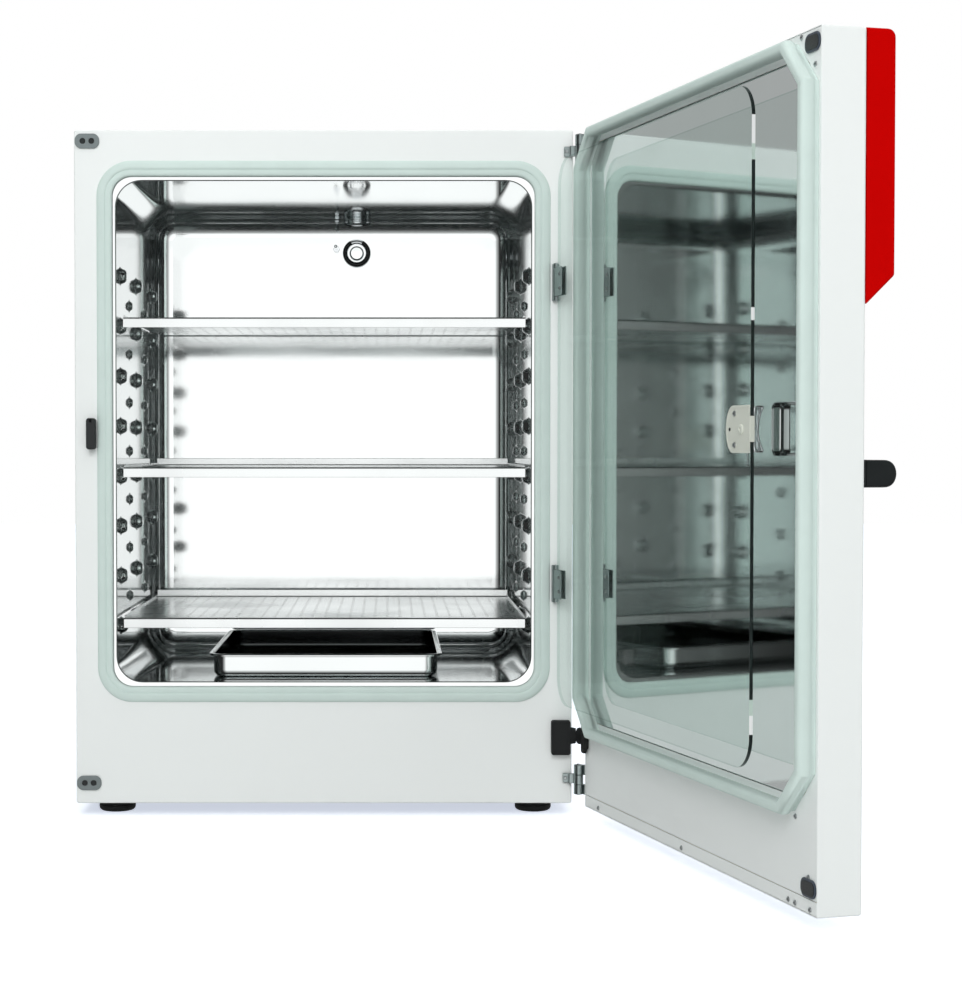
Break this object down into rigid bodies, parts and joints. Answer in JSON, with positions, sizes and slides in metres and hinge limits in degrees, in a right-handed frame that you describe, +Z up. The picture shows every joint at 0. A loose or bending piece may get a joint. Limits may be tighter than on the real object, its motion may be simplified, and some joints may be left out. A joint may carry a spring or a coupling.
{
  "type": "laboratory incubator",
  "caption": "Upright laboratory incubator: insulated steel housing, hinged outer door, inner glass door, slide-out shelves and a water pan in a rounded steel chamber.",
  "frame": {"origin": "centre of the housing's underside, on the pressed pad of the base plate; the feet reach 20 mm below it", "axes": "+X to the right seen from the front, the front faces -Y, +Z up; both doors are open at rest"},
  "size_m": [1.0993, 1.475, 1.076],
  "materials": {
    "white_paint": "satin",
    "polished_steel": "polished",
    "mirror_steel": "polished",
    "zinc_steel": "satin",
    "hinge_steel": "satin",
    "chrome": "polished",
    "silicone": "satin",
    "red_paint": "gloss",
    "black_plastic": "matte",
    "grey_plastic": "matte",
    "cream_plastic": "satin",
    "black_rubber": "matte",
    "clear_glass": "gloss",
    "display_glass": "gloss",
    "insulation_foam": "matte",
    "electronics_case": "satin",
    "circuit_board": "satin",
    "brass": "satin"
  },
  "bodies": {
    "housing": {"outer_shell": "white_paint", "front_frame": "white_paint", "rear_cover": "white_paint", "base_plate": "zinc_steel", "foot_front_left": "black_rubber", "foot_front_right": "black_rubber", "foot_rear_left": "black_rubber", "foot_rear_right": "black_rubber", "inner_chamber": "polished_steel", "chamber_heater": "zinc_steel", "chamber_insulation": "insulation_foam", "chamber_gasket": "silicone", "sensor_cap": "chrome", "sensor_head": "grey_plastic", "temperature_probe": "chrome", "glass_strike": "black_plastic", "upper_plug_cover": "grey_plastic", "lower_plug_cover": "grey_plastic", "cable_boot": "black_rubber", "power_supply": "electronics_case", "relay_board": "circuit_board", "gas_valve": "brass", "gas_inlet": "brass", "mains_inlet": "black_plastic", "access_port_plug": "silicone", "upper_hinge_bracket": "hinge_steel", "lower_hinge_bracket": "hinge_steel", "upper_hinge_pin": "chrome", "lower_hinge_pin": "chrome", "upper_glass_hinge": "hinge_steel", "lower_glass_hinge": "hinge_steel", "upper_glass_hinge_pin": "chrome", "lower_glass_hinge_pin": "chrome"},
    "outer_door": {"door_skin": "white_paint", "door_liner": "white_paint", "door_inner_panel": "mirror_steel", "latch_recess": "mirror_steel", "door_insulation": "insulation_foam", "door_gasket": "silicone", "control_housing": "red_paint", "display_panel": "display_glass", "controller_board": "circuit_board", "handle_base": "black_plastic", "door_handle": "black_plastic", "upper_hinge_leaf": "hinge_steel", "lower_hinge_leaf": "hinge_steel", "upper_door_plug": "grey_plastic", "lower_door_plug": "grey_plastic", "door_cable_gland": "black_rubber"},
    "power_switch": {"power_switch": "black_plastic"},
    "glass_door": {"glass_pane": "clear_glass", "glass_latch_plate": "cream_plastic", "upper_glass_clamp": "hinge_steel", "lower_glass_clamp": "hinge_steel"},
    "glass_latch": {"glass_latch_knob": "chrome"},
    "shelf_top": {"shelf_top": "polished_steel"},
    "shelf_middle": {"shelf_middle": "polished_steel"},
    "shelf_bottom": {"shelf_bottom": "polished_steel"},
    "water_pan": {"water_pan": "polished_steel"}
  },
  "joints": [
    {"name": "outer_door_hinge", "type": "hinge", "parent": "housing", "child": "outer_door", "pos_m": [0.399, -0.353, 0], "axis": [0, 0, 1], "range_deg": [-105, 15]},
    {"name": "glass_door_hinge", "type": "hinge", "parent": "housing", "child": "glass_door", "pos_m": [0.363, -0.345, 0], "axis": [0, 0, 1], "range_deg": [-105, 15]},
    {"name": "glass_latch_turn", "type": "hinge", "parent": "glass_door", "child": "glass_latch", "pos_m": [0.53951, -1.00376, 0.582], "axis": [-0.9659, -0.2588, 0], "range_deg": [0, 90]},
    {"name": "power_switch_rock", "type": "hinge", "parent": "outer_door", "child": "power_switch", "pos_m": [0.53692, -0.49101, 0.92], "axis": [-0.2588, 0.9659, 0], "range_deg": [0, 18]},
    {"name": "shelf_top_slide", "type": "slide", "parent": "housing", "child": "shelf_top", "axis": [0, -1, 0], "range_m": [0, 0.25]},
    {"name": "shelf_middle_slide", "type": "slide", "parent": "housing", "child": "shelf_middle", "axis": [0, -1, 0], "range_m": [0, 0.25]},
    {"name": "shelf_bottom_slide", "type": "slide", "parent": "housing", "child": "shelf_bottom", "axis": [0, -1, 0], "range_m": [0, 0.25]},
    {"name": "water_pan_slide", "type": "slide", "parent": "housing", "child": "water_pan", "axis": [0, -1, 0], "range_m": [0, 0.25]}
  ],
  "couplings": [
    {"joint": "glass_door_hinge", "follows": "outer_door_hinge", "ratio": 1}
  ]
}
